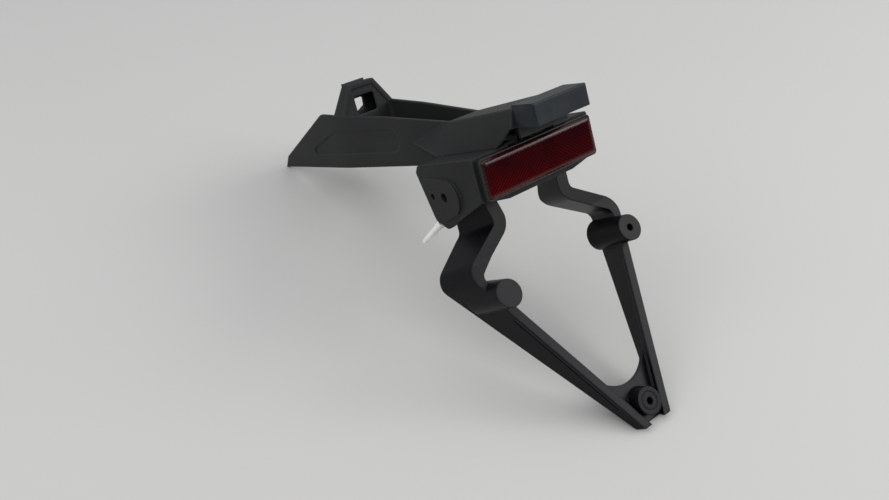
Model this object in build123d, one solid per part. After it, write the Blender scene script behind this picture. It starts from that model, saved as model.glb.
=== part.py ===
from build123d import *
import os
from math import atan2, cos, degrees, radians, sin, tan

# A motorbike tail tidy: an undertray with a hood and a lamp, a bracket with a reflector and
# two indicator cheeks, and a forked frame for the number plate. Lengths are in millimetres.
# The pieces are drawn as mounted, X to the right, Y forward and Z up, from the foot of the
# plate frame. At the end they are turned nose-down, as the assembly rests on the ground.

# Clearances, and how far a cutting body runs past the face it cuts
fit_gap = 0.1
hole_gap = 0.5
cut_over = 5

# Top plate of the bracket, which falls gently towards the front
plate_rear_y = 55.5
plate_rear_z = 190.3
plate_drop = 4.0
plate_length = 61
plate_t = 3
plate_set_back = 4

# Bracket walls and cheeks
cheek_x = 50
cheek_t = 3
cheek_lean_y = 120.5
cheek_lean_z = 181
cheek_nose_y = 111
cheek_nose_z = 148
cheek_low_y = 100
cheek_low_z = 141.6
cheek_rear_z = 162.5
cheek_rear_r = 1.5
cheek_top_r = 4
cheek_lean_r = 3
cheek_nose_r = 5
cheek_low_r = 6
cheek_back_r = 2
panel_t = 3
panel_low_z = 157.8
lip_depth = 9
lip_t = 2.5
lip_half = 28
lip_taper = 4
slot_half = 9
notch_half = 20
slot_front_y = 104
notch_z = 186
gusset_x = 39.5
gusset_t = 2
gusset_depth = 11
gusset_height = 22

# Indicator pads on the cheeks, flush at the front and standing out at the rear
pad_y = 88.5
pad_z = 164.8
pad_r = 12
pad_rise = 2.2
pad_slope = 19.6
indicator_hole = 7
indicator_y = 93
locating_hole = 5
locating_pitch = 14

# Undertray walls
wall_t = 2.5
wall_front_x = 25.6
wall_rear_x = 14
wall_rear_y = 122
wall_bend_y = 260
wall_bend_r = 150
tip_y = 382.6
tip_z = 174.5
tip_nose_y = 371.5
tip_nose_z = 184.8
wall_peak_y = 282
wall_peak_z = 220.3
wall_mid_y = 195.5
wall_mid_z = 213.2
wall_rear_z = 205
wall_heel_y = 158
wall_tip_r = 3
wall_peak_r = 6
wall_mid_r = 200
panel_sink = 0.8
panel_front_y = 329
panel_rear_y = 183
panel_bottom_z = 186
panel_top_z = 206
panel_top_y = 266
panel_fall = 2
panel_front_r = 3
panel_rear_r = 8
floor_z = 186
floor_t = 2.5
floor_rear_y = 140
floor_front_y = 332

# Front mount, a hollow block between the walls
mount_y = 247
mount_depth = 15
mount_top_depth = 10
mount_top_z = 238.5
mount_shoulder_z = 217.5
mount_top_half = 12
mount_wall = 2.5
window_width = 18.5
window_height = 14.7
window_z = 221
window_r = 2
front_window_width = 9
front_window_height = 10.5
crest_half = 10
crest_rise = 1.8
crest_shift = -2
face_sink = 0.8
face_border = 4

# Hood over the bracket
hood_t = 2.5
hood_rear_y = 40
hood_rear_z = 213
hood_rear_half = 22.4
hood_skirt_half = 30
flank_tip_y = 166.5
flank_tip_z = 191.5
flank_blunt = 1
flank_hollow_y = 150
end_wall_t = 2.5
end_wall_low_z = 194
end_wall_half = 20
heel_y = 55
hood_edge_r = 3

# Clamp bolts through the frame's feet, the bracket and the hood
bolt_x = 16
bolt_rear_v = 25
bolt_front_v = 52
bolt_d = 6
bolt_head_d = 10
bolt_head_h = 4
bolt_key = 4
bolt_key_depth = 2.4
bolt_reach = 9
bolt_short = 1
washer_d = 12
washer_t = 1.2
insert_d = 8
hood_boss_d = 13

# Plate frame
strip_lean = 62.1
draw_drop = 14.6
draw_splay = 12
foot_low_s = -2
foot_in_x = 6.1
foot_out_x = 12
foot_depth = 7.5
knee_x = 64.4
knee_s = 134.3
hip_x = 29.8
hip_s = 157.5
leg_width = 6.3
arm_width = 9.5
knee_depth = 31.5
hip_depth = 30
arm_top_depth = 18
knee_low_s = 131
arm_bend_s = 141
arm_back = 15.6
arm_flare = 12.4
bend_big_r = 13
bend_small_r = 5
strip_t = 3
channel_wall = 2.1
groove_sink = 0.9
groove_width = 1.6
groove_low_s = 16
groove_high_s = 99
rib_t = 2
rib_count = 4
rib_pitch = 24
rib_first_s = 26
web_arc_r = 27
web_sink = 5.8
web_t = 3
web_lap = 1.5
shoe_t = 4
shoe_in_x = 10
shoe_out_x = 44
shoe_rear_v = 18
shoe_front_v = 60
shoe_r = 4

# Plate bosses
plate_lean = 67
boss_x = 55.5
boss_s = 114.4
boss_rise = 11
boss_r = 9
boss_base_r = 11
boss_length = 33
boss_crown = 3
low_boss_s = 11.3
low_boss_rise = 2.75
low_boss_length = 10
screw_bore = 5
screw_depth = 20
low_screw_depth = 8
ring_r = 6.3
ring_width = 0.7
ring_sink = 0.5

# Reflector
reflector_width = 95
reflector_height = 27
reflector_z = 175.5
reflector_depth = 4.5
reflector_rim = 0.8
lens_rise = 1.8
lens_t = 4.2
lens_bevel = 1.6
reflector_edge_r = 2.5
stud_x = 31
stud_d = 5
stud_length = 11
stud_root = 1.2
nut_width = 8
nut_h = 4
stud_washer_d = 10
stud_washer_t = 1

# Lamp
lamp_length = 19.6
lamp_half = 22.4
lamp_low_z = 201.4
lamp_top_z = 215
lamp_wall = 3
lamp_front_wall = 4.5
lamp_edge_r = 1.5
lens_cup_h = 3.5
lens_cup_wall = 1.2
lens_plate_t = 1.5
board_t = 1.6
board_ledge = 2
lamp_roof_z = 210
led_size = 3.5
led_h = 0.9
led_pitch = 11
lamp_screw_x = 14
lamp_screw_z = 205.5
lamp_screw_d = 3.5
lamp_screw_head = 9
lamp_screw_head_h = 2.2
lamp_screw_reach = 6
lamp_screw_short = 0.5
lamp_peg_d = 8
lamp_peg_short = 0.2

# Lamp lead and its end
lead_d = 3.6
lead_z = 205
lead_run_share = 0.45
grommet_d = 7.4
grommet_flange_d = 9.4
grommet_flange_t = 1.5
boot_length = 7
boot_width = 8
boot_height = 5
sleeve_long_d = 4
sleeve_long_length = 25
sleeve_short_d = 3.4
sleeve_short_length = 18
sleeve_half_gap = 2
lead_points = [
    (0, 37, lead_z),
    (0, 52, lead_z),
    (-2, 66, 191),
    (-5, 67, 163),
    (-45, 69, 170),
    (-45, 111.5, 145),
]


def side_prism(outline, left_x, right_x):
    """A solid with an outline drawn in Y and Z, between two values of X."""
    face = make_face(outline)
    return extrude(Plane.YZ.offset(left_x) * face, amount=right_x - left_x)


def cross_section(y, points):
    """A face across the part at one Y, from points in X and Z."""
    plane = Plane(origin=(0, y, 0), x_dir=(1, 0, 0), z_dir=(0, -1, 0))
    return plane * make_face(Polyline(*points, close=True))


def both_sides(shape):
    """A shape on the right side together with its mirror image on the left."""
    return shape + mirror(shape, about=Plane.YZ)


def bore_along_y(x, z, y0, y1, diameter):
    """A cylinder along Y, for pieces and holes that face the rear."""
    start = Plane(origin=(x, y0, z), x_dir=(1, 0, 0), z_dir=(0, 1, 0))
    return extrude(start * Circle(diameter / 2), amount=y1 - y0)


def plate_z(y):
    """Height of the top plate's upper face."""
    return plate_rear_z - (y - plate_rear_y) * tan(radians(plate_drop))


def blend(y, y0, value0, y1, value1):
    """Straight-line value between two places."""
    return value0 + (value1 - value0) * (y - y0) / (y1 - y0)


seat = Plane(
    origin=(0, plate_rear_y, plate_rear_z),
    x_dir=(1, 0, 0),
    z_dir=(0, sin(radians(plate_drop)), cos(radians(plate_drop))),
)
to_top = (Align.CENTER, Align.CENTER, Align.MAX)
from_base = (Align.CENTER, Align.CENTER, Align.MIN)
bolt_places = [(x, v) for x in (-bolt_x, bolt_x) for v in (bolt_rear_v, bolt_front_v)]


def on_seat(x, v, low, high, diameter):
    """A cylinder square to the top plate, from one height above its face to another."""
    return seat * Pos(x, v, low) * extrude(Circle(diameter / 2), amount=high - low)


# Undertray and hood, moulded in one: two walls, a floor, the front mount and the hood
def wall_x(y):
    """Outer face of the right wall where it narrows towards the hood."""
    return blend(y, wall_rear_y, wall_rear_x, wall_bend_y, wall_front_x)


def make_walls():
    plan_end = tip_y + cut_over
    beside = wall_front_x + cut_over
    plan = FilletPolyline(
        (wall_rear_x, wall_rear_y),
        (wall_front_x, wall_bend_y),
        (wall_front_x, plan_end),
        (wall_front_x - wall_t, plan_end),
        (wall_front_x - wall_t, wall_bend_y),
        (wall_rear_x - wall_t, wall_rear_y),
        radius=[0, wall_bend_r, 0, 0, wall_bend_r - wall_t, 0],
        close=True,
    )
    height = wall_peak_z - tip_z + 2 * cut_over
    upright = extrude(Pos(0, 0, tip_z - cut_over) * make_face(plan), amount=height)
    outline = FilletPolyline(
        (tip_y, tip_z),
        (tip_nose_y, tip_nose_z),
        (wall_peak_y, wall_peak_z),
        (wall_mid_y, wall_mid_z),
        (wall_rear_y, wall_rear_z),
        (wall_rear_y, plate_z(wall_rear_y)),
        (wall_heel_y, tip_z),
        radius=[0, wall_tip_r, wall_peak_r, wall_mid_r, 0, 0, 0],
        close=True,
    )
    return both_sides(upright & side_prism(outline, 0, beside))


def make_recesses():
    """The shallow panels sunk into the walls' outer faces."""
    plan_end = tip_y + cut_over
    beside = wall_front_x + cut_over
    outline = FilletPolyline(
        (panel_front_y, panel_bottom_z),
        (panel_top_y, panel_top_z),
        (panel_rear_y, panel_top_z - panel_fall),
        (panel_rear_y, panel_bottom_z),
        radius=[panel_front_r, panel_front_r, panel_rear_r, panel_rear_r],
        close=True,
    )
    plan = FilletPolyline(
        (wall_rear_x - panel_sink, wall_rear_y),
        (wall_front_x - panel_sink, wall_bend_y),
        (wall_front_x - panel_sink, plan_end),
        (beside, plan_end),
        (beside, wall_rear_y),
        radius=[0, wall_bend_r - panel_sink, 0, 0, 0],
        close=True,
    )
    recess = extrude(Pos(0, 0, tip_z) * make_face(plan), amount=wall_peak_z - tip_z)
    return both_sides(recess & side_prism(outline, 0, beside))


def make_floor():
    inset = wall_t / 2
    plan = Polyline(
        (wall_x(floor_rear_y) - inset, floor_rear_y),
        (wall_front_x - inset, wall_bend_y),
        (wall_front_x - inset, floor_front_y),
        (inset - wall_front_x, floor_front_y),
        (inset - wall_front_x, wall_bend_y),
        (inset - wall_x(floor_rear_y), floor_rear_y),
        close=True,
    )
    return extrude(Pos(0, 0, floor_z) * make_face(plan), amount=floor_t)


def make_front_mount():
    base_half = wall_front_x - wall_t / 2
    base_z = floor_z + floor_t / 2
    across = Polyline(
        (-base_half, base_z),
        (-base_half, mount_shoulder_z),
        (-mount_top_half, mount_top_z),
        (mount_top_half, mount_top_z),
        (base_half, mount_shoulder_z),
        (base_half, base_z),
        close=True,
    )
    face = make_face(across)
    rear = Plane(origin=(0, mount_y, 0), x_dir=(1, 0, 0), z_dir=(0, -1, 0))
    side = Polyline(
        (mount_y, base_z),
        (mount_y + mount_depth, base_z),
        (mount_y + mount_depth, mount_shoulder_z),
        (mount_y + mount_top_depth, mount_top_z),
        (mount_y, mount_top_z),
        close=True,
    )
    block = extrude(rear * face, amount=-mount_depth) & side_prism(side, -base_half, base_half)
    core = offset(face, amount=-mount_wall, kind=Kind.INTERSECTION)
    core_side = offset(make_face(side), amount=-mount_wall, kind=Kind.INTERSECTION)
    core_prism = extrude(Plane.YZ.offset(-base_half) * core_side, amount=2 * base_half)
    block -= extrude(rear * core, amount=-mount_depth) & core_prism
    border = offset(face, amount=-face_border, kind=Kind.INTERSECTION)
    block -= extrude(rear * border, amount=-face_sink)
    window = rear * Pos(0, window_z) * RectangleRounded(window_width, window_height, window_r)
    block -= extrude(window, amount=-mount_depth / 2)
    far_window = RectangleRounded(front_window_width, front_window_height, window_r)
    block -= extrude(rear * Pos(0, window_z) * far_window, amount=-mount_depth)
    crest_y = mount_y + mount_top_depth - mount_wall / 2
    crest = Box(2 * crest_half, mount_wall, 2 * crest_rise)
    return block + Pos(crest_shift, crest_y, mount_top_z) * crest


def hood_half(y):
    return blend(y, hood_rear_y, hood_rear_half, wall_rear_y, wall_rear_x)


def hood_top(y):
    return blend(y, hood_rear_y, hood_rear_z, wall_rear_y, wall_rear_z)


def hood_outer(y):
    """Corners of the hood's outside at one Y, from the left skirt over the roof."""
    low = plate_z(y)
    half = hood_half(y)
    top = hood_top(y)
    return [(-hood_skirt_half, low), (-half, top), (half, top), (hood_skirt_half, low)]


def hood_inner(y):
    """Corners of the hollow under the hood, open below."""
    low = plate_z(y)
    skirt = hood_skirt_half - hood_t
    half = hood_half(y) - hood_t / 2
    top = hood_top(y) - hood_t
    right = [(half, top), (skirt, low), (skirt, low - hood_t)]
    return [(-x, z) for x, z in reversed(right)] + right


def flank_values(y):
    """Outer edge, lower edge and ridge where the hood's side runs forward into the wall."""
    out = blend(y, wall_rear_y, hood_skirt_half, flank_tip_y, wall_x(flank_tip_y))
    low = blend(y, wall_rear_y, plate_z(wall_rear_y), flank_tip_y, flank_tip_z)
    high = blend(y, wall_rear_y, wall_rear_z, flank_tip_y, flank_tip_z)
    return out, low, high


def flank_outer(y):
    out, low, high = flank_values(y)
    inside = wall_x(y) - wall_t / 2
    return [(inside, low), (out, low), (wall_x(y), high), (inside, high)]


def flank_inner(y):
    """Corners of the hollow inside the flank, open below."""
    out, low, high = flank_values(y)
    edge = out - hood_t
    return [(wall_x(y), low - hood_t), (edge, low - hood_t), (edge, low), (wall_x(y), high - 2 * hood_t)]


def make_hood():
    brow = cross_section(wall_rear_y, hood_outer(wall_rear_y))
    roof = loft([brow, cross_section(hood_rear_y, hood_outer(hood_rear_y))], ruled=True)
    lengthwise = roof.edges().filter_by(lambda e: e.bounding_box().size.Y > end_wall_t)
    roof = fillet(lengthwise.group_by(Axis.Z)[-1], hood_edge_r)
    tip = flank_tip_y - flank_blunt
    flank = loft([cross_section(y, flank_outer(y)) for y in (wall_rear_y, tip)], ruled=True)
    shell = roof + both_sides(flank)

    rear_y = hood_rear_y + end_wall_t
    front_y = wall_rear_y + fit_gap
    hollow = [cross_section(y, hood_inner(y)) for y in (front_y, rear_y)]
    shell -= loft(hollow, ruled=True)
    flank_hollow = [cross_section(y, flank_inner(y)) for y in (wall_rear_y - fit_gap, flank_hollow_y)]
    shell -= both_sides(loft(flank_hollow, ruled=True))
    for x, v in bolt_places:
        shell += on_seat(x, v, 0, hood_rear_z - plate_rear_z, hood_boss_d) & roof

    heel_z = plate_z(heel_y)
    heel = Polyline(
        (hood_rear_y - cut_over, lamp_low_z),
        (rear_y, lamp_low_z),
        (heel_y, heel_z),
        (heel_y, heel_z - hood_t),
        (hood_rear_y - cut_over, heel_z - hood_t),
        close=True,
    )
    heel_cut = side_prism(heel, end_wall_half, 2 * hood_skirt_half)
    below = Box(4 * hood_skirt_half, 4 * end_wall_t, 4 * end_wall_t, align=to_top)
    return shell - both_sides(heel_cut) - Pos(0, hood_rear_y, end_wall_low_z) * below


def make_cover():
    cover = make_walls() + make_floor() + make_front_mount() + make_hood() - make_recesses()
    for x, v in bolt_places:
        cover -= on_seat(x, v, -cut_over, bolt_reach, insert_d + 2 * fit_gap)
    rear_y = hood_rear_y - cut_over
    front_y = hood_rear_y + end_wall_t + cut_over
    for x in (-lamp_screw_x, lamp_screw_x):
        cover -= bore_along_y(x, lamp_screw_z, rear_y, front_y, lamp_peg_d + 2 * fit_gap)
    return cover - bore_along_y(0, lead_z, rear_y, front_y, grommet_d + 2 * fit_gap)


# Bracket: two cheeks, the top plate, the reflector panel with its lip, and gussets
def make_bracket():
    plate_front_y = plate_rear_y + plate_length
    cheek_outline = FilletPolyline(
        (plate_rear_y, plate_z(plate_rear_y)),
        (plate_front_y, plate_z(plate_front_y)),
        (cheek_lean_y, cheek_lean_z),
        (cheek_nose_y, cheek_nose_z),
        (cheek_low_y, cheek_low_z),
        (plate_rear_y, cheek_rear_z),
        radius=[cheek_rear_r, cheek_top_r, cheek_lean_r, cheek_nose_r, cheek_low_r, cheek_back_r],
        close=True,
    )
    cheek = side_prism(cheek_outline, cheek_x - cheek_t, cheek_x)
    reach = cheek_lean_y + cut_over - pad_y
    slope = radians(pad_slope)
    low_y = pad_y - pad_r * sin(slope)
    low_z = pad_z - pad_r * cos(slope)
    pad_front = Polyline(
        (pad_y, pad_z + pad_r),
        (pad_y + reach, pad_z + pad_r),
        (pad_y + reach, low_z - (pad_y + reach - low_y) * tan(slope)),
        (low_y, low_z),
        close=True,
    )
    pad_face = make_face(pad_front) + Pos(pad_y, pad_z) * Circle(pad_r)
    pad = extrude(Plane.YZ.offset(cheek_x - cheek_t) * pad_face, amount=cheek_t + pad_rise)
    pad &= side_prism(cheek_outline, cheek_x - cheek_t, cheek_x + pad_rise)
    wedge = Polyline(
        (cheek_x - cheek_t, pad_y - pad_r),
        (cheek_x + pad_rise, pad_y - pad_r),
        (cheek_x, cheek_lean_y),
        (cheek_x - cheek_t, cheek_lean_y),
        close=True,
    )
    cheek += pad & Pos(0, 0, cheek_low_z) * extrude(make_face(wedge), amount=cheek_lean_z - cheek_low_z)
    holes = Pos(indicator_y, pad_z) * Circle(indicator_hole / 2)
    holes += Pos(indicator_y + locating_pitch, pad_z) * Circle(locating_hole / 2)
    cheek -= extrude(Plane.YZ.offset(cheek_x - 2 * cheek_t) * holes, amount=2 * (cheek_t + pad_rise))
    bracket = both_sides(cheek)

    inner_x = cheek_x - cheek_t / 2
    span_front_y = plate_front_y - plate_set_back
    section = Polyline(
        (plate_rear_y, panel_low_z),
        (plate_rear_y, plate_z(plate_rear_y)),
        (span_front_y, plate_z(span_front_y)),
        (span_front_y, plate_z(span_front_y) - plate_t),
        (plate_rear_y + panel_t, plate_z(plate_rear_y + panel_t) - plate_t),
        (plate_rear_y + panel_t, panel_low_z + lip_t),
        (plate_rear_y + lip_depth, panel_low_z + lip_t),
        (plate_rear_y + lip_depth, panel_low_z),
        close=True,
    )
    span = side_prism(section, -inner_x, inner_x)
    corner = Polyline(
        (lip_half, panel_low_z),
        (inner_x, panel_low_z),
        (inner_x, panel_low_z + lip_taper),
        close=True,
    )
    corner_cut = Plane.XZ.offset(-cheek_lean_y) * make_face(corner)
    span -= both_sides(extrude(corner_cut, amount=cheek_lean_y))
    bracket += span

    gusset_y = plate_rear_y + panel_t
    gusset_z = plate_z(gusset_y) - plate_t
    gusset = Polyline(
        (gusset_y, gusset_z),
        (gusset_y + gusset_depth, plate_z(gusset_y + gusset_depth) - plate_t),
        (gusset_y, gusset_z - gusset_height),
        close=True,
    )
    bracket += both_sides(side_prism(gusset, gusset_x, gusset_x + gusset_t))

    slot_y = plate_rear_y + panel_t
    slot_length = slot_front_y - slot_y
    slot = Pos(0, slot_y + slot_length / 2, plate_rear_z) * Box(2 * slot_half, slot_length, 4 * cut_over)
    notch = Pos(0, plate_rear_y, notch_z) * Box(2 * notch_half, 4 * panel_t, 2 * cut_over, align=from_base)
    bracket = bracket - slot - notch
    for x, v in bolt_places:
        bracket -= on_seat(x, v, -2 * plate_t, plate_t, bolt_d + hole_gap)
    rear_y = plate_rear_y - cut_over
    front_y = plate_rear_y + panel_t + cut_over
    for x in (-stud_x, stud_x):
        bracket -= bore_along_y(x, reflector_z, rear_y, front_y, stud_d + hole_gap)
    return bracket


# Plate frame: two bent channel-section arms, a web between their feet, bosses and shoes
strip_cos = cos(radians(strip_lean))
strip_sin = sin(radians(strip_lean))
draw_cos = cos(radians(draw_drop))
draw_sin = sin(radians(draw_drop))
strip_plane = Plane(origin=(0, 0, 0), x_dir=(1, 0, 0), z_dir=(0, -strip_sin, strip_cos))
shoe_level = plate_t + shoe_t / 2


def mitre(before, corner, after, gap_before, gap_after):
    """Corner of a line drawn beside a bent path, at its own distance from each leg."""
    leg1 = (corner - before) / abs(corner - before)
    leg2 = (after - corner) / abs(after - corner)
    shift = leg2 * 1j * gap_after - leg1 * 1j * gap_before
    along = (shift.conjugate() * leg2).imag / (leg1.conjugate() * leg2).imag
    point = corner + leg1 * 1j * gap_before + leg1 * along
    return (point.real, point.imag)


def arm_outline(inset):
    """The right arm's outline on the strip plane, drawn in by a wall thickness."""
    foot = complex((foot_in_x + foot_out_x) / 2, foot_low_s)
    knee = complex(knee_x, knee_s)
    hip = complex(hip_x, hip_s)
    top = hip + complex(tan(radians(arm_flare)), 1) * 2 * knee_x
    leg = leg_width / 2 - inset
    arm = arm_width / 2 - inset
    outer_r = bend_big_r - inset
    inner_r = bend_small_r + inset
    return FilletPolyline(
        (foot_out_x - inset, foot_low_s),
        mitre(foot, knee, hip, -leg, -arm),
        mitre(knee, hip, top, -arm, -arm),
        (top.real + arm, top.imag),
        (top.real - arm, top.imag),
        mitre(knee, hip, top, arm, arm),
        mitre(foot, knee, hip, leg, arm),
        (foot_in_x + inset, foot_low_s),
        radius=[0, outer_r, inner_r, 0, 0, outer_r, inner_r, 0],
        close=True,
    )


def on_strip(s, depth):
    """A point in Y and Z, up the strip and then forward into the channel."""
    return (s * strip_cos + depth * draw_cos, s * strip_sin - depth * draw_sin)


def under_shoe(y, z):
    """Where a line up the leaned-back arm from a point reaches the middle of the shoes."""
    back = tan(radians(arm_back))
    lean = (strip_sin + back * draw_sin) / (strip_cos - back * draw_cos)
    drop = tan(radians(plate_drop))
    level = plate_rear_z + plate_rear_y * drop - shoe_level / cos(radians(plate_drop))
    y_top = (level - z + y * lean) / (lean + drop)
    return (y_top, level - drop * y_top)


frame_side = Polyline(
    on_strip(foot_low_s, 0),
    on_strip(foot_low_s, foot_depth),
    on_strip(knee_low_s, knee_depth),
    on_strip(hip_s, hip_depth),
    under_shoe(*on_strip(arm_bend_s, arm_top_depth)),
    under_shoe(*on_strip(arm_bend_s, 0)),
    on_strip(arm_bend_s, 0),
    close=True,
)


def make_arms():
    draw = Vector(tan(radians(draw_splay)), draw_cos, -draw_sin)
    behind = Pos(-draw * knee_depth)
    side = side_prism(frame_side, 0, 2 * knee_x)
    body = extrude(behind * (strip_plane * make_face(arm_outline(0))), amount=3 * knee_depth, dir=draw)
    body &= side
    inside = make_face(arm_outline(channel_wall))
    core = extrude(behind * (strip_plane * inside), amount=3 * knee_depth, dir=draw)
    core &= Pos(0, strip_t * draw_cos, -strip_t * draw_sin) * side
    foot_end = strip_plane * Pos(foot_in_x, 0) * Rectangle(2 * knee_x, 2 * foot_depth)
    core -= extrude(foot_end, amount=-2 * knee_depth)
    ribs = Part()
    for number in range(rib_count):
        rib_s = rib_first_s + number * rib_pitch
        ribs += strip_plane * Pos(knee_x, rib_s, -knee_depth) * Box(4 * knee_x, rib_t, 2 * knee_depth)
    body -= core - ribs
    groove_face = make_face(arm_outline(-groove_sink)) - make_face(arm_outline(groove_sink))
    groove = extrude(strip_plane.offset(-strip_t) * groove_face, amount=groove_width, dir=draw)
    groove_s = (groove_low_s + groove_high_s) / 2
    reach = Box(4 * knee_x, groove_high_s - groove_low_s, 4 * knee_depth)
    return both_sides(body - (groove & (strip_plane * Pos(0, groove_s) * reach)))


def make_web():
    """The web between the feet, hollowed above by an arc that runs into both legs."""
    foot = complex((foot_in_x + foot_out_x) / 2, foot_low_s)
    leg = complex(knee_x, knee_s) - foot
    lean = leg / abs(leg)
    slope = lean.real / lean.imag
    edge_x = foot_in_x - foot_low_s * slope
    arc_s = (web_arc_r - edge_x * lean.imag) / lean.real
    touch_s = arc_s - web_arc_r * lean.real
    right = [(foot_in_x + web_lap, foot_low_s), (edge_x + touch_s * slope + web_lap, touch_s)]
    corners = right + [(-x, s) for x, s in reversed(right)]
    face = make_face(Polyline(*corners, close=True)) - Pos(0, arc_s) * Circle(web_arc_r)
    web = extrude(strip_plane.offset(-web_sink) * face, amount=-web_t)
    return web & side_prism(frame_side, -knee_x, knee_x)


def boss_plane(x, s, rise):
    """A plane on a plate boss's face, square to the number plate."""
    base = strip_plane.location * Pos(x, s, rise)
    normal = (0, -sin(radians(plate_lean)), cos(radians(plate_lean)))
    return Plane(origin=base.position, x_dir=(1, 0, 0), z_dir=normal)


left_boss = boss_plane(-boss_x, boss_s, boss_rise)
right_boss = boss_plane(boss_x, boss_s, boss_rise)
low_boss = boss_plane(0, low_boss_s, low_boss_rise)


def boss_stem(plane, length):
    """A tapered boss drawn the same way as the arms and cut off along the number plate."""
    base_r = blend(length, 0, boss_r, boss_length, boss_base_r)
    drawn = Plane(origin=plane.origin, x_dir=(1, 0, 0), z_dir=(0, -draw_cos, draw_sin))
    stem = drawn * Pos(0, 0, boss_crown) * Cone(base_r, boss_r, length + boss_crown, align=to_top)
    return stem - plane * Cylinder(2 * boss_r, 4 * boss_crown, align=from_base)


def make_frame():
    frame = make_arms() + make_web()
    shoe_x = (shoe_in_x + shoe_out_x) / 2
    shoe_v = (shoe_rear_v + shoe_front_v) / 2
    shoe = RectangleRounded(shoe_out_x - shoe_in_x, shoe_front_v - shoe_rear_v, shoe_r)
    frame += both_sides(seat * Pos(shoe_x, shoe_v, -plate_t) * extrude(shoe, amount=-shoe_t))
    frame += boss_stem(left_boss, boss_length)
    frame += boss_stem(right_boss, boss_length)
    frame += boss_stem(low_boss, low_boss_length)
    frame -= right_boss * Cylinder(screw_bore / 2, screw_depth, align=to_top)
    frame -= low_boss * Cylinder(screw_bore / 2, low_screw_depth, align=to_top)
    ring = Circle(ring_r) - Circle(ring_r - ring_width)
    frame -= low_boss * extrude(ring, amount=-ring_sink)
    for x, v in bolt_places:
        frame -= on_seat(x, v, -2 * plate_t - shoe_t, plate_t, bolt_d + hole_gap)
    return frame


# Clamp bolts with their washers and the hood's threaded inserts
shoe_face = -plate_t - shoe_t


def make_clamp_bolts():
    bolts = []
    for x, v in bolt_places:
        under_head = shoe_face - washer_t
        bolt = on_seat(x, v, under_head, bolt_reach - bolt_short, bolt_d)
        bolt += on_seat(x, v, under_head - bolt_head_h, under_head, bolt_head_d)
        key = RegularPolygon(bolt_key / 2, 6, major_radius=False)
        socket = seat * Pos(x, v, under_head - bolt_head_h) * extrude(key, amount=bolt_key_depth)
        bolts.append(bolt - socket)
    return bolts


def make_clamp_washers():
    washers = []
    for x, v in bolt_places:
        ring = on_seat(x, v, shoe_face - washer_t, shoe_face, washer_d)
        washers.append(ring - on_seat(x, v, shoe_face - washer_t, shoe_face, bolt_d + hole_gap))
    return washers


def make_hood_inserts():
    inserts = []
    for x, v in bolt_places:
        sleeve = on_seat(x, v, 0, bolt_reach, insert_d)
        inserts.append(sleeve - on_seat(x, v, 0, bolt_reach, bolt_d + 2 * fit_gap))
    return inserts


# Reflector: a tray with moulded-in studs, the red lens, nuts and washers
reflector_rear_y = plate_rear_y - reflector_depth


def reflector_slab(margin, y0, y1):
    plane = Plane(origin=(0, y0, reflector_z), x_dir=(1, 0, 0), z_dir=(0, 1, 0))
    width = reflector_width - 2 * margin
    height = reflector_height - 2 * margin
    return extrude(plane * RectangleRounded(width, height, reflector_edge_r - margin / 2), amount=y1 - y0)


def make_reflector_base():
    floor_y = reflector_rear_y - lens_rise + lens_t
    base = reflector_slab(0, reflector_rear_y, plate_rear_y)
    base -= reflector_slab(reflector_rim, reflector_rear_y - cut_over, floor_y)
    for x in (-stud_x, stud_x):
        base -= bore_along_y(x, reflector_z, plate_rear_y - stud_root, plate_rear_y, stud_d + 2 * fit_gap)
    return base


def make_reflector_lens():
    front_y = reflector_rear_y - lens_rise
    lens = reflector_slab(reflector_rim + fit_gap, front_y, front_y + lens_t)
    return chamfer(lens.faces().sort_by(Axis.Y)[0].edges(), lens_bevel)


def make_studs():
    root_y = plate_rear_y - stud_root
    end_y = plate_rear_y + stud_length
    return [bore_along_y(x, reflector_z, root_y, end_y, stud_d) for x in (-stud_x, stud_x)]


def make_stud_washers():
    washers = []
    y0 = plate_rear_y + panel_t
    for x in (-stud_x, stud_x):
        ring = bore_along_y(x, reflector_z, y0, y0 + stud_washer_t, stud_washer_d)
        washers.append(ring - bore_along_y(x, reflector_z, y0, y0 + stud_washer_t, stud_d + hole_gap))
    return washers


def make_stud_nuts():
    nuts = []
    y0 = plate_rear_y + panel_t + stud_washer_t
    for x in (-stud_x, stud_x):
        plane = Plane(origin=(x, y0, reflector_z), x_dir=(1, 0, 0), z_dir=(0, 1, 0))
        hexagon = extrude(plane * RegularPolygon(nut_width / 2, 6, major_radius=False), amount=nut_h)
        nuts.append(hexagon - bore_along_y(x, reflector_z, y0, y0 + nut_h, stud_d + 2 * fit_gap))
    return nuts


# Lamp: a housing behind the hood's end wall, with a lens, a board and its screws
lamp_rear_y = hood_rear_y - lamp_length
cup_half = lamp_half - lamp_wall
cup_rear_y = lamp_rear_y + lamp_wall
cup_front_y = hood_rear_y - lamp_front_wall
board_low_z = lamp_low_z + lens_cup_h
board_top_z = board_low_z + board_t


def lamp_block(half, rear_y, front_y, low, high):
    middle = ((rear_y + front_y) / 2, (low + high) / 2)
    return Pos(0, middle[0], middle[1]) * Box(2 * half, front_y - rear_y, high - low)


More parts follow.
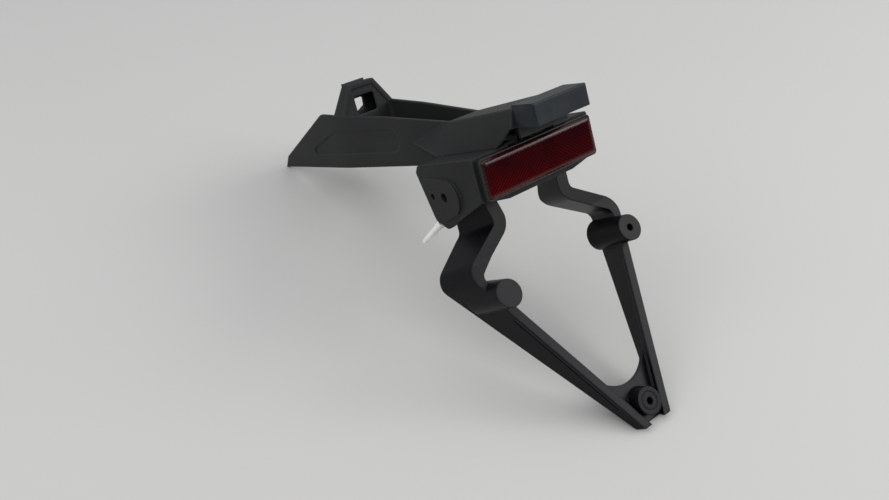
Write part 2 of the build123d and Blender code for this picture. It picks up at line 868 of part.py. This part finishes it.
def make_lamp_housing():
    body = lamp_block(lamp_half, lamp_rear_y, hood_rear_y, lamp_low_z, lamp_top_z)
    uprights = body.edges().filter_by(Axis.Z).group_by(Axis.Y)[0]
    body = fillet(uprights, lamp_edge_r)
    rim = body.faces().sort_by(Axis.Z)[-1].edges().sort_by(Axis.Y)[:-1]
    body = fillet(rim, lamp_edge_r / 2)
    body -= lamp_block(cup_half, cup_rear_y, cup_front_y, lamp_low_z - cut_over, board_top_z)
    ledge = board_ledge
    body -= lamp_block(cup_half - ledge, cup_rear_y + ledge, cup_front_y - ledge, board_low_z, lamp_roof_z)
    for x in (-lamp_screw_x, lamp_screw_x):
        peg_end = hood_rear_y + end_wall_t - lamp_peg_short
        body += bore_along_y(x, lamp_screw_z, hood_rear_y, peg_end, lamp_peg_d)
        body -= bore_along_y(x, lamp_screw_z, peg_end - lamp_screw_reach, peg_end, lamp_screw_d + fit_gap)
    return body - bore_along_y(0, lead_z, cup_front_y - 2 * ledge, hood_rear_y + cut_over, lead_d + hole_gap)


def make_lamp_lens():
    gap = fit_gap
    cup = lamp_block(cup_half - gap, cup_rear_y + gap, cup_front_y - gap, lamp_low_z, board_low_z)
    edge = lens_cup_wall + gap
    inside_low = lamp_low_z + lens_plate_t
    return cup - lamp_block(cup_half - edge, cup_rear_y + edge, cup_front_y - edge, inside_low, board_low_z)


def make_lamp_board():
    gap = 2 * fit_gap
    return lamp_block(cup_half - gap, cup_rear_y + gap, cup_front_y - gap, board_low_z, board_top_z)


def make_lamp_leds():
    leds = []
    middle_y = (cup_rear_y + cup_front_y) / 2
    for place in (-1, 0, 1):
        led = Box(led_size, led_size, led_h, align=to_top)
        leds.append(Pos(place * led_pitch, middle_y, board_low_z) * led)
    return leds


def make_lamp_screws():
    screws = []
    wall_y = hood_rear_y + end_wall_t
    for x in (-lamp_screw_x, lamp_screw_x):
        head = bore_along_y(x, lamp_screw_z, wall_y, wall_y + lamp_screw_head_h, lamp_screw_head)
        tip_end = wall_y - lamp_peg_short - lamp_screw_reach + lamp_screw_short
        screws.append(head + bore_along_y(x, lamp_screw_z, tip_end, wall_y, lamp_screw_d))
    return screws


def make_grommet():
    wall_y = hood_rear_y + end_wall_t
    ring = bore_along_y(0, lead_z, hood_rear_y, wall_y, grommet_d)
    ring += bore_along_y(0, lead_z, wall_y, wall_y + grommet_flange_t, grommet_flange_d)
    return ring - bore_along_y(0, lead_z, hood_rear_y, wall_y + grommet_flange_t, lead_d + 2 * fit_gap)


# Lead from the lamp, the boot on its end and the two sleeves
def lead_radii():
    """Bend radii as large as the two runs beside each corner allow."""
    corners = [Vector(*point) for point in lead_points]
    runs = [after - before for before, after in zip(corners, corners[1:])]
    radii = []
    for before, after in zip(runs, runs[1:]):
        half_turn = radians(before.get_angle(after) / 2)
        radii.append(lead_run_share * min(before.length, after.length) / tan(half_turn))
    return radii


def make_lead():
    radii = lead_radii()
    print("lead radii", [round(radius, 1) for radius in radii])
    route = FilletPolyline(*lead_points, radius=radii)
    start = Plane(origin=route @ 0, z_dir=route % 0)
    return sweep(start * Circle(lead_d / 2), path=route)


def lead_end_plane():
    last = Vector(*lead_points[-1])
    before = Vector(*lead_points[-2])
    return Plane(origin=last, x_dir=(1, 0, 0), z_dir=last - before)


def make_boot():
    return lead_end_plane() * extrude(SlotOverall(boot_width, boot_height), amount=boot_length)


def make_sleeve(x, diameter, length):
    return lead_end_plane() * Pos(x, 0, boot_length) * extrude(Circle(diameter / 2), amount=length)


nodes = {
    "undertray_cover": make_cover(),
    "licence_bracket": make_bracket(),
    "plate_frame": make_frame(),
    "clamp_bolts": make_clamp_bolts(),
    "clamp_washers": make_clamp_washers(),
    "hood_inserts": make_hood_inserts(),
    "reflector_base": make_reflector_base(),
    "reflector_lens": make_reflector_lens(),
    "reflector_studs": make_studs(),
    "reflector_washers": make_stud_washers(),
    "reflector_nuts": make_stud_nuts(),
    "lamp_housing": make_lamp_housing(),
    "lamp_lens": make_lamp_lens(),
    "lamp_board": make_lamp_board(),
    "lamp_leds": make_lamp_leds(),
    "lamp_screws": make_lamp_screws(),
    "lamp_grommet": make_grommet(),
    "lamp_lead": make_lead(),
    "lead_boot": make_boot(),
    "lead_sleeve_long": make_sleeve(-sleeve_half_gap, sleeve_long_d, sleeve_long_length),
    "lead_sleeve_short": make_sleeve(sleeve_half_gap, sleeve_short_d, sleeve_short_length),
}

# The assembly rests on the front edges of its feet and on the tips of the undertray walls
foot_y, foot_z = on_strip(foot_low_s, foot_depth)
rest_angle = degrees(atan2(tip_z - foot_z, tip_y - foot_y))
turn = Rot(-rest_angle, 0, 0)
whole = Compound([turn * solid for shape in nodes.values() for solid in Compound(shape).solids()])
box = whole.bounding_box()
settle = Pos(-box.center().X, -box.center().Y, -box.min.Z) * turn

os.makedirs("parts", exist_ok=True)
for name, shape in nodes.items():
    solids = Compound(shape).solids()
    placed = [settle * solid for solid in solids]
    export_step(placed[0] if len(placed) == 1 else Compound(placed), "parts/" + name + ".step")
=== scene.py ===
from math import pi, radians

import bmesh
import bpy
from mathutils import Euler, Matrix, Vector


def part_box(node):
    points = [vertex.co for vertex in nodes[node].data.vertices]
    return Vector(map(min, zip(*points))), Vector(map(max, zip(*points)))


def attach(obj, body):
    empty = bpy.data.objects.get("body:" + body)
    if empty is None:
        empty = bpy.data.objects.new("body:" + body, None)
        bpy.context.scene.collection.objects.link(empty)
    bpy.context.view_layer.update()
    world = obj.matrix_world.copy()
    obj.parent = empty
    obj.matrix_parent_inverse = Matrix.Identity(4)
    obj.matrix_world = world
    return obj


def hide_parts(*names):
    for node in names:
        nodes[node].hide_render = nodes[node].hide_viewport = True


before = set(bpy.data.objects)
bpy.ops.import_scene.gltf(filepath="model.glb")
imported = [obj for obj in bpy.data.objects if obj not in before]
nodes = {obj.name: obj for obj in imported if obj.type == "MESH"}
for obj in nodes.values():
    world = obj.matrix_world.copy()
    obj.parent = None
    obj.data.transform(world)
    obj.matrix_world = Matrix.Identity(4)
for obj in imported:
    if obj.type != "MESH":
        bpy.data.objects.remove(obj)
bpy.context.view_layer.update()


# Undertray and hood: one moulding in glass-filled nylon, black right through. Two tall walls,
# a floor, a hollow mount at the front and the hood at the rear come out of one tool, which was
# spark-eroded, so every face has the same fine matt grain and every edge is slightly rounded.
mm = 0.001


def linear(colour):
    """An sRGB hex colour as linear red, green, blue and alpha."""
    shares = [int(colour[place:place + 2], 16) / 255 for place in (1, 3, 5)]
    return [s / 12.92 if s <= 0.04045 else ((s + 0.055) / 1.055) ** 2.4 for s in shares] + [1.0]


def add(tree, kind, links=(), **settings):
    """Adds one node with its settings, and links or sets the inputs that are named."""
    node = tree.nodes.new(kind)
    for name, value in settings.items():
        setattr(node, name, value)
    for name, value in dict(links).items():
        if isinstance(value, bpy.types.NodeSocket):
            tree.links.new(value, node.inputs[name])
        else:
            node.inputs[name].default_value = value
    return node


def new_material(name):
    """An empty node material, and the tree to build it in."""
    material = bpy.data.materials.new(name)
    material.use_nodes = True
    material.node_tree.nodes.clear()
    return material, material.node_tree


def moulded_plastic(name, body, bloom, edge_highlight, round_mm, roughness, sheen, patch_mm=45):
    """Matt black plastic: a fine eroded grain, a grey bloom in broad patches, painted highlights on edges.
    """
    # The real grain is about 0.1 mm. It is drawn ten times as coarse, so that it shows in a picture.
    grain_mm = 1.1
    grain_depth_mm = 0.3
    material, tree = new_material(name)
    place = add(tree, "ShaderNodeTexCoord").outputs["Object"]
    grain = add(tree, "ShaderNodeTexNoise", {"Vector": place, "Scale": 1 / (grain_mm * mm), "Detail": 3.0})
    patches = add(tree, "ShaderNodeTexNoise", {"Vector": place, "Scale": 1 / (patch_mm * mm), "Detail": 4.0})
    patch_share = add(
        tree,
        "ShaderNodeMapRange",
        {"Value": patches.outputs["Fac"], "From Min": 0.35, "From Max": 0.7},
    )
    tone = add(
        tree,
        "ShaderNodeMix",
        {"Factor": patch_share.outputs[0], 6: linear(body), 7: linear(bloom)},
        data_type="RGBA",
    )
    # Where the rounded normal leaves the flat one, the face is at an edge, and a paler colour is painted
    # there as a highlight.
    rounded = add(tree, "ShaderNodeBevel", {"Radius": round_mm * mm}, samples=8)
    flat = add(tree, "ShaderNodeNewGeometry")
    likeness = add(
        tree,
        "ShaderNodeVectorMath",
        {0: rounded.outputs[0], 1: flat.outputs["Normal"]},
        operation="DOT_PRODUCT",
    )
    edge_highlight_share = add(
        tree,
        "ShaderNodeMapRange",
        {"Value": likeness.outputs["Value"], "From Min": 0.99, "From Max": 0.8, "To Max": 0.75},
    )
    colour = add(
        tree,
        "ShaderNodeMix",
        {"Factor": edge_highlight_share.outputs[0], 6: tone.outputs[2], 7: linear(edge_highlight)},
        data_type="RGBA",
    )
    gloss = add(
        tree,
        "ShaderNodeMapRange",
        {"Value": grain.outputs["Fac"], "To Min": roughness - 0.06, "To Max": roughness + 0.08},
    )
    relief = add(
        tree,
        "ShaderNodeBump",
        {
            "Height": grain.outputs["Fac"],
            "Strength": 0.22,
            "Distance": grain_depth_mm * mm,
            "Normal": rounded.outputs[0],
        },
    )
    shader = add(
        tree,
        "ShaderNodeBsdfPrincipled",
        {
            "Base Color": colour.outputs[2],
            "Roughness": gloss.outputs[0],
            "Normal": relief.outputs[0],
            "Specular IOR Level": sheen,
        },
    )
    add(tree, "ShaderNodeOutputMaterial", {"Surface": shader.outputs[0]})
    return material


def finish_in(node, material):
    """Gives a CAD node its finish."""
    for place in nodes[node].material_slots:
        place.material = material


undertray_nylon = moulded_plastic(
    "nylon_undertray",
    body="#262727",
    bloom="#2b2c2c",
    edge_highlight="#3c3d3e",
    round_mm=2.2,
    roughness=0.5,
    sheen=0.1,
)
finish_in("undertray_cover", undertray_nylon)


# Licence bracket: a second moulding of the same black nylon, bolted up under the hood. Its two
# cheeks carry the indicators on raised pads, and the panel between them carries the reflector.
bracket_nylon = moulded_plastic(
    "nylon_bracket",
    body="#232424",
    bloom="#282929",
    edge_highlight="#424344",
    round_mm=1.3,
    roughness=0.52,
    sheen=0.12,
)
finish_in("licence_bracket", bracket_nylon)


# Plate frame: the forked third moulding, in a blacker, slightly smoother nylon. Its two
# channel-section arms run down from shoes under the bracket, splay at the knees and meet at the
# foot. The open backs of the channels face away from the plate.
frame_nylon = moulded_plastic(
    "nylon_frame",
    body="#0a0b0c",
    bloom="#0f1012",
    edge_highlight="#34353a",
    round_mm=1.1,
    roughness=0.38,
    sheen=0.13,
)
finish_in("plate_frame", frame_nylon)


# Clamp bolts, their washers and the hood's inserts: bright zinc on rolled and stamped steel, and
# turned brass. They draw the frame's shoes, the bracket's top plate and the hood together.
def turned_metal(name, bright, dull, streak_mm, roughness):
    """Plated steel or brass: a bright metal, clouded by its bath or by age and finely streaked."""
    # Real streaks are about 0.1 mm wide. They are drawn several times as coarse, so that they show.
    cloud_mm = 4
    streak_depth_mm = 0.1
    material, tree = new_material(name)
    place = add(tree, "ShaderNodeTexCoord").outputs["Object"]
    cloud = add(tree, "ShaderNodeTexNoise", {"Vector": place, "Scale": 1 / (cloud_mm * mm), "Detail": 5.0})
    streak = add(tree, "ShaderNodeTexNoise", {"Vector": place, "Scale": 1 / (streak_mm * mm), "Detail": 2.0})
    tone = add(
        tree,
        "ShaderNodeMix",
        {"Factor": cloud.outputs["Fac"], 6: linear(dull), 7: linear(bright)},
        data_type="RGBA",
    )
    gloss = add(
        tree,
        "ShaderNodeMapRange",
        {"Value": streak.outputs["Fac"], "To Min": roughness - 0.08, "To Max": roughness + 0.12},
    )
    relief = add(
        tree,
        "ShaderNodeBump",
        {"Height": streak.outputs["Fac"], "Strength": 0.1, "Distance": streak_depth_mm * mm},
    )
    shader = add(
        tree,
        "ShaderNodeBsdfPrincipled",
        {
            "Base Color": tone.outputs[2],
            "Metallic": 1.0,
            "Roughness": gloss.outputs[0],
            "Normal": relief.outputs[0],
        },
    )
    add(tree, "ShaderNodeOutputMaterial", {"Surface": shader.outputs[0]})
    return material


bolt_zinc = turned_metal("zinc_plated_steel", "#c9cbcc", "#9fa3a6", streak_mm=0.8, roughness=0.32)
finish_in("clamp_bolts", bolt_zinc)
finish_in("clamp_washers", bolt_zinc)
insert_brass = turned_metal("turned_brass", "#d0ac62", "#a9823f", streak_mm=0.6, roughness=0.28)
finish_in("hood_inserts", insert_brass)


# Reflector tray: a shallow black ABS dish that holds the lens by its rim and hides its edge.
# It is moulded smoother than the nylon, so its rim catches a thin line of light, drawn by its sheen and by a
# painted edge highlight.
tray_abs = moulded_plastic(
    "abs_reflector_tray",
    body="#191c1a",
    bloom="#202421",
    edge_highlight="#303431",
    round_mm=0.6,
    roughness=0.4,
    sheen=0.3,
)
finish_in("reflector_base", tray_abs)


# Reflector lens: clear red acrylic, moulded with rows of tiny corner prisms on its back. Seen
# through the polished face they cross as fine slanted ribs, darker wherever they turn light away.
def prism_acrylic():
    """Deep red, ribbed a little darker and lighter, under a polished skin, with painted shade and a purplish
    painted sheen toward the top.
    """
    rib_mm = 1.9
    cloud_mm = 14
    half_height_mm = 12
    bevel_mm = 3
    lens_lean = radians(25.3)
    low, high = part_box("reflector_lens")
    material, tree = new_material("red_prism_acrylic")
    place = add(tree, "ShaderNodeTexCoord").outputs["Object"]
    centred = add(tree, "ShaderNodeVectorMath", {0: place, 1: (low + high) / 2}, operation="SUBTRACT")
    upright = add(tree, "ShaderNodeMapping", {"Vector": centred.outputs[0], "Rotation": (lens_lean, 0, 0)})
    along = add(tree, "ShaderNodeSeparateXYZ", {"Vector": upright.outputs[0]})
    # The prisms of the two halves are turned against each other, so their ribs meet in a chevron.
    halves = add(tree, "ShaderNodeMath", {0: along.outputs["X"]}, operation="ABSOLUTE")
    folded = add(tree, "ShaderNodeCombineXYZ", {"X": halves.outputs[0], "Z": along.outputs["Z"]})
    # A wave texture at scale 1 repeats every 2 pi / 20 of a metre.
    wave_scale = 2 * pi / 20 / (rib_mm * mm)
    waves = []
    for turn in (50, -40):
        slanted = add(
            tree,
            "ShaderNodeMapping",
            {"Vector": folded.outputs[0], "Rotation": (0, radians(turn), 0)},
        )
        wave = add(
            tree,
            "ShaderNodeTexWave",
            {"Vector": slanted.outputs[0], "Scale": wave_scale},
            wave_type="BANDS",
            bands_direction="X",
        )
        waves.append(wave.outputs["Fac"])
    cells = add(tree, "ShaderNodeMath", {0: waves[1], 1: 0.3, 2: waves[0]}, operation="MULTIPLY_ADD")
    clouds = add(tree, "ShaderNodeTexNoise", {"Vector": place, "Scale": 1 / (cloud_mm * mm), "Detail": 3.0})
    depth = add(
        tree,
        "ShaderNodeMapRange",
        {"Value": clouds.outputs["Fac"], "From Min": 0.35, "From Max": 0.65},
    )
    # Painted shade and sheen: the bright ribs fade to a dark purplish red toward the top of the lens and
    # brighten toward the low edge.
    painted_top_shade_fade = add(
        tree,
        "ShaderNodeMapRange",
        {
            "Value": along.outputs["Z"],
            "From Min": half_height_mm * mm,
            "From Max": -half_height_mm * mm,
            "To Max": 0.7,
        },
    )
    clouds_and_top_shade = add(
        tree,
        "ShaderNodeMath",
        {0: depth.outputs[0], 1: 0.4, 2: painted_top_shade_fade.outputs[0]},
        operation="MULTIPLY_ADD",
    )
    # The first colour is the painted shade with its purplish painted sheen, the second the lens's own bright
    # red.
    bright = add(
        tree,
        "ShaderNodeMix",
        {"Factor": clouds_and_top_shade.outputs[0], 6: linear("#220208"), 7: linear("#4a0304")},
        data_type="RGBA",
    )
    colour = add(
        tree,
        "ShaderNodeMix",
        {"Factor": cells.outputs[0], 6: linear("#190103"), 7: bright.outputs[2]},
        data_type="RGBA",
    )
    polished = add(tree, "ShaderNodeBevel", {"Radius": bevel_mm * mm}, samples=12)
    shader = add(
        tree,
        "ShaderNodeBsdfPrincipled",
        {
            "Base Color": colour.outputs[2],
            "Roughness": 0.1,
            "Specular IOR Level": 0.3,
            "Normal": polished.outputs[0],
        },
    )
    add(tree, "ShaderNodeOutputMaterial", {"Surface": shader.outputs[0]})
    return material


finish_in("reflector_lens", prism_acrylic())


# Reflector studs, washers and nuts: small plated fixings behind the panel. The studs are moulded
# into the tray, and the nuts pull it flat against the panel.
fixing_zinc = turned_metal("zinc_plated_fixings", "#bfc2c3", "#94989b", streak_mm=0.6, roughness=0.36)
for fixing in ("reflector_studs", "reflector_washers", "reflector_nuts"):
    finish_in(fixing, fixing_zinc)


# Lamp housing: a smooth satin ABS box on the hood's end wall that throws light down on the plate.
# It is screwed on from inside the hood. Its faces are finer than the nylon's, bluish and scuffed.
lamp_abs = moulded_plastic(
    "abs_lamp_housing",
    body="#15191c",
    bloom="#272c30",
    edge_highlight="#444a4f",
    round_mm=1.2,
    roughness=0.38,
    sheen=0.19,
    patch_mm=16,
)
finish_in("lamp_housing", lamp_abs)
finish_in("lamp_screws", fixing_zinc)


# Lamp lens, board and light sources: a clear polycarbonate cup under the housing, a lacquered
# green board on the ledge above it, and three square light sources soldered on the board.
def clear_polycarbonate():
    """Clear moulded plastic: see-through, with faint ripples left by the flow into the tool."""
    ripple_mm = 3
    ripple_depth_mm = 0.2
    material, tree = new_material("clear_polycarbonate")
    place = add(tree, "ShaderNodeTexCoord").outputs["Object"]
    ripple = add(tree, "ShaderNodeTexNoise", {"Vector": place, "Scale": 1 / (ripple_mm * mm), "Detail": 2.0})
    relief = add(
        tree,
        "ShaderNodeBump",
        {"Height": ripple.outputs["Fac"], "Strength": 0.08, "Distance": ripple_depth_mm * mm},
    )
    shader = add(
        tree,
        "ShaderNodeBsdfPrincipled",
        {
            "Base Color": linear("#eef1f0"),
            "Roughness": 0.08,
            "IOR": 1.58,
            "Transmission Weight": 0.9,
            "Normal": relief.outputs[0],
        },
    )
    add(tree, "ShaderNodeOutputMaterial", {"Surface": shader.outputs[0]})
    return material


def lacquered_board():
    """Green lacquer over copper: paler thin lines where the tracks run, under a smooth gloss."""
    track_mm = 5
    material, tree = new_material("lacquered_board")
    place = add(tree, "ShaderNodeTexCoord").outputs["Object"]
    tracks = add(
        tree,
        "ShaderNodeTexBrick",
        {
            "Vector": place,
            "Scale": 1 / (track_mm * mm),
            "Mortar Size": 0.03,
            "Color1": linear("#0d4a22"),
            "Color2": linear("#0f5527"),
            "Mortar": linear("#2f7f45"),
        },
    )
    shader = add(
        tree,
        "ShaderNodeBsdfPrincipled",
        {"Base Color": tracks.outputs["Color"], "Roughness": 0.3, "IOR": 1.5},
    )
    add(tree, "ShaderNodeOutputMaterial", {"Surface": shader.outputs[0]})
    return material


def phosphor_resin():
    """Clear resin filled with yellow phosphor: a warm yellow, finely speckled."""
    speck_mm = 0.5
    material, tree = new_material("phosphor_resin")
    place = add(tree, "ShaderNodeTexCoord").outputs["Object"]
    specks = add(tree, "ShaderNodeTexNoise", {"Vector": place, "Scale": 1 / (speck_mm * mm), "Detail": 2.0})
    tone = add(
        tree,
        "ShaderNodeMix",
        {"Factor": specks.outputs["Fac"], 6: linear("#d9b23c"), 7: linear("#f0d878")},
        data_type="RGBA",
    )
    shader = add(
        tree,
        "ShaderNodeBsdfPrincipled",
        {"Base Color": tone.outputs[2], "Roughness": 0.25, "IOR": 1.5},
    )
    add(tree, "ShaderNodeOutputMaterial", {"Surface": shader.outputs[0]})
    return material


finish_in("lamp_lens", clear_polycarbonate())
finish_in("lamp_board", lacquered_board())
finish_in("lamp_leds", phosphor_resin())


# Lamp lead: a thin twin-core lead in soft black vinyl. It leaves the lamp through a rubber grommet
# in the hood's end wall, drops through the bracket's slot and comes out under the left cheek.
def black_vinyl():
    """Black vinyl or rubber: slightly dusty, with a soft broad sheen."""
    dust_mm = 3
    material, tree = new_material("soft_black_vinyl")
    place = add(tree, "ShaderNodeTexCoord").outputs["Object"]
    dust = add(tree, "ShaderNodeTexNoise", {"Vector": place, "Scale": 1 / (dust_mm * mm), "Detail": 4.0})
    tone = add(
        tree,
        "ShaderNodeMix",
        {"Factor": dust.outputs["Fac"], 6: linear("#1c1c1d"), 7: linear("#29292a")},
        data_type="RGBA",
    )
    gloss = add(
        tree,
        "ShaderNodeMapRange",
        {"Value": dust.outputs["Fac"], "To Min": 0.35, "To Max": 0.55},
    )
    shader = add(
        tree,
        "ShaderNodeBsdfPrincipled",
        {"Base Color": tone.outputs[2], "Roughness": gloss.outputs[0], "IOR": 1.52},
    )
    add(tree, "ShaderNodeOutputMaterial", {"Surface": shader.outputs[0]})
    return material


lead_vinyl = black_vinyl()
finish_in("lamp_grommet", lead_vinyl)

lead_diameter = 3.6 * mm
lead_points = [
    (0, -0.088268, 0.175459),
    (0, -0.074711, 0.169040),
    (-0.002, -0.068049, 0.150397),
    (-0.005, -0.079127, 0.124662),
    (-0.045, -0.074324, 0.130133),
    (-0.045, -0.046610, 0.089350),
]
lead_curve = bpy.data.curves.new("lamp_lead_line", "CURVE")
lead_curve.dimensions = "3D"
lead_line = lead_curve.splines.new("NURBS")
lead_line.points.add(len(lead_points) - 1)
for point, spot in zip(lead_line.points, lead_points):
    point.co = (*spot, 1)
lead_line.order_u = 3
lead_line.use_endpoint_u = True
lead_line.resolution_u = 24
lead_curve.bevel_depth = lead_diameter / 2
lead_curve.bevel_resolution = 6
lead_curve.use_fill_caps = True
lead_curve.materials.append(lead_vinyl)
lead = bpy.data.objects.new("lamp_lead_flex", lead_curve)
bpy.context.scene.collection.objects.link(lead)
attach(lead, "root")
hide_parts("lamp_lead")


# Boot and sleeves: the two wires end in white vinyl sleeves, one longer than the other, pushed
# into a boot moulded in the same vinyl. Each sleeve is a cut length of tube with softened ends.
def white_vinyl():
    """White vinyl: nearly plain, a little soiled by handling, with a soft sheen."""
    soil_mm = 4
    material, tree = new_material("white_vinyl")
    place = add(tree, "ShaderNodeTexCoord").outputs["Object"]
    soil = add(tree, "ShaderNodeTexNoise", {"Vector": place, "Scale": 1 / (soil_mm * mm), "Detail": 4.0})
    tone = add(
        tree,
        "ShaderNodeMix",
        {"Factor": soil.outputs["Fac"], 6: linear("#fbfbfa"), 7: linear("#efefed")},
        data_type="RGBA",
    )
    shader = add(
        tree,
        "ShaderNodeBsdfPrincipled",
        {"Base Color": tone.outputs[2], "Roughness": 0.4, "IOR": 1.5},
    )
    add(tree, "ShaderNodeOutputMaterial", {"Surface": shader.outputs[0]})
    return material


sleeve_vinyl = white_vinyl()
finish_in("lead_boot", sleeve_vinyl)
sleeve_wall = 0.7 * mm
sleeve_round = 0.25 * mm
boot_length = 7 * mm
lead_end = Vector(lead_points[-1])
sleeve_run = (lead_end - Vector(lead_points[-2])).normalized()
sleeve_root = lead_end + sleeve_run * boot_length
sideways = Vector((1, 0, 0))
sleeve_turn = Matrix((sideways, sleeve_run.cross(sideways), sleeve_run)).transposed().to_4x4()


def make_sleeve(name, node, side, diameter, length):
    """A tube with a wall and rounded open ends, standing for one plain CAD sleeve."""
    shape = bmesh.new()
    bmesh.ops.create_circle(shape, segments=32, radius=diameter / 2)
    rim = bmesh.ops.extrude_edge_only(shape, edges=shape.edges[:])
    top = [v for v in rim["geom"] if isinstance(v, bmesh.types.BMVert)]
    bmesh.ops.translate(shape, verts=top, vec=(0, 0, length))
    bmesh.ops.solidify(shape, geom=shape.faces[:], thickness=sleeve_wall)
    bmesh.ops.recalc_face_normals(shape, faces=shape.faces[:])
    sharp = [e for e in shape.edges if len(e.link_faces) == 2 and e.calc_face_angle() > 1]
    bmesh.ops.bevel(
        shape, geom=sharp, offset=sleeve_round, segments=3, profile=0.5, affect="EDGES", material=-1
    )
    spot = Matrix.Translation(sleeve_root) @ sleeve_turn @ Matrix.Translation((side, 0, 0))
    bmesh.ops.transform(shape, matrix=spot, verts=shape.verts[:])
    mesh = bpy.data.meshes.new(name)
    shape.to_mesh(mesh)
    shape.free()
    for face in mesh.polygons:
        face.use_smooth = True
    mesh.materials.append(sleeve_vinyl)
    sleeve = bpy.data.objects.new(name, mesh)
    bpy.context.scene.collection.objects.link(sleeve)
    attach(sleeve, "root")
    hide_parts(node)
    return sleeve


long_sleeve = make_sleeve("long_sleeve_tube", "lead_sleeve_long", -2 * mm, 4 * mm, 25 * mm)
short_sleeve = make_sleeve("short_sleeve_tube", "lead_sleeve_short", 2 * mm, 3.4 * mm, 18 * mm)


# Floor: plain, pale and flat, and wide enough to run out of sight on every side. It is painted
# matt, with a faint broad cloudiness, and takes the object's soft shadow.
def pale_floor():
    """Matt off-white: nearly even, clouded a little over about half a metre."""
    cloud_m = 0.5
    material, tree = new_material("pale_floor")
    place = add(tree, "ShaderNodeTexCoord").outputs["Object"]
    cloud = add(tree, "ShaderNodeTexNoise", {"Vector": place, "Scale": 1 / cloud_m, "Detail": 2.0})
    tone = add(
        tree,
        "ShaderNodeMix",
        {"Factor": cloud.outputs["Fac"], 6: linear("#bbbab7"), 7: linear("#c1c0be")},
        data_type="RGBA",
    )
    shader = add(tree, "ShaderNodeBsdfPrincipled", {"Base Color": tone.outputs[2], "Roughness": 0.9})
    add(tree, "ShaderNodeOutputMaterial", {"Surface": shader.outputs[0]})
    return material


floor_reach = 40
floor_shape = bmesh.new()
bmesh.ops.create_grid(floor_shape, x_segments=1, y_segments=1, size=floor_reach)
floor_mesh = bpy.data.meshes.new("floor")
floor_shape.to_mesh(floor_mesh)
floor_shape.free()
floor_mesh.materials.append(pale_floor())
floor = bpy.data.objects.new("floor", floor_mesh)
bpy.context.scene.collection.objects.link(floor)


# Light: a soft sky that is brightest overhead and has a pale band at the horizon, a panel like a
# window at the rear right, which draws the highlight along the lens, a broad panel overhead and
# one on the left, which fills the shadow under the bracket.
sky = bpy.data.worlds.new("soft_sky")
sky.use_nodes = True
bpy.context.scene.world = sky
sky_tree = sky.node_tree
sky_tree.nodes.clear()
up = add(sky_tree, "ShaderNodeTexCoord").outputs["Generated"]
height = add(sky_tree, "ShaderNodeSeparateXYZ", {"Vector": up}).outputs["Z"]
rise = add(
    sky_tree,
    "ShaderNodeMapRange",
    {"Value": height, "From Min": 0.15, "From Max": 0.75, "To Min": 0.05},
)
# The band ends below the part of the sky that the lens mirrors to the camera, so the lens stays dark.
band = add(
    sky_tree,
    "ShaderNodeMapRange",
    {"Value": height, "From Min": 0.065, "From Max": 0.085, "To Min": 0.38, "To Max": 0.0},
)
glow = add(sky_tree, "ShaderNodeMath", {0: rise.outputs[0], 1: band.outputs[0]}, operation="ADD")
sky_light = add(
    sky_tree,
    "ShaderNodeBackground",
    {"Color": linear("#f3f5f8"), "Strength": glow.outputs[0]},
)
add(sky_tree, "ShaderNodeOutputWorld", {"Surface": sky_light.outputs[0]})


def soft_panel(name, place, aim, width, depth, watts):
    """A flat light panel that faces a point."""
    lamp = bpy.data.lights.new(name, "AREA")
    lamp.shape = "RECTANGLE"
    lamp.size = width
    lamp.size_y = depth
    lamp.energy = watts
    panel = bpy.data.objects.new(name, lamp)
    panel.location = place
    panel.rotation_euler = (Vector(place) - Vector(aim)).to_track_quat("Z", "Y").to_euler()
    bpy.context.scene.collection.objects.link(panel)


soft_panel("window_panel", (1.2, -1.3, 1.22), aim=(0, -0.08, 0.13), width=1.6, depth=0.9, watts=23)
soft_panel("overhead_panel", (-0.1, 0.1, 2.0), aim=(0, 0, 0.1), width=2.4, depth=2.0, watts=4)
soft_panel("left_panel", (-1.6, 0.2, 1.25), aim=(0, 0, 0.1), width=1.4, depth=1.4, watts=10)


# Camera: held close behind the plate frame and to its left, at about knee height, and pointed
# down at the object. It is turned by the angles below from a level view straight ahead.
picture_width = 889
focal_pixels = 840
camera_down = radians(37.515)
camera_right = radians(39.148)
camera_roll = radians(0.346)
camera_place = (-0.335317, -0.404396, 0.418797)
camera_lens = bpy.data.cameras.new("camera")
camera_lens.sensor_width = 36
camera_lens.lens = focal_pixels / picture_width * camera_lens.sensor_width
camera = bpy.data.objects.new("camera", camera_lens)
camera_aim = Euler((pi / 2 - camera_down, 0, -camera_right)).to_matrix().to_4x4()
camera.matrix_world = Matrix.Translation(camera_place) @ camera_aim @ Matrix.Rotation(camera_roll, 4, "Z")
bpy.context.scene.collection.objects.link(camera)
bpy.context.scene.camera = camera
bpy.context.scene.view_settings.view_transform = "Standard"

bpy.context.view_layer.update()
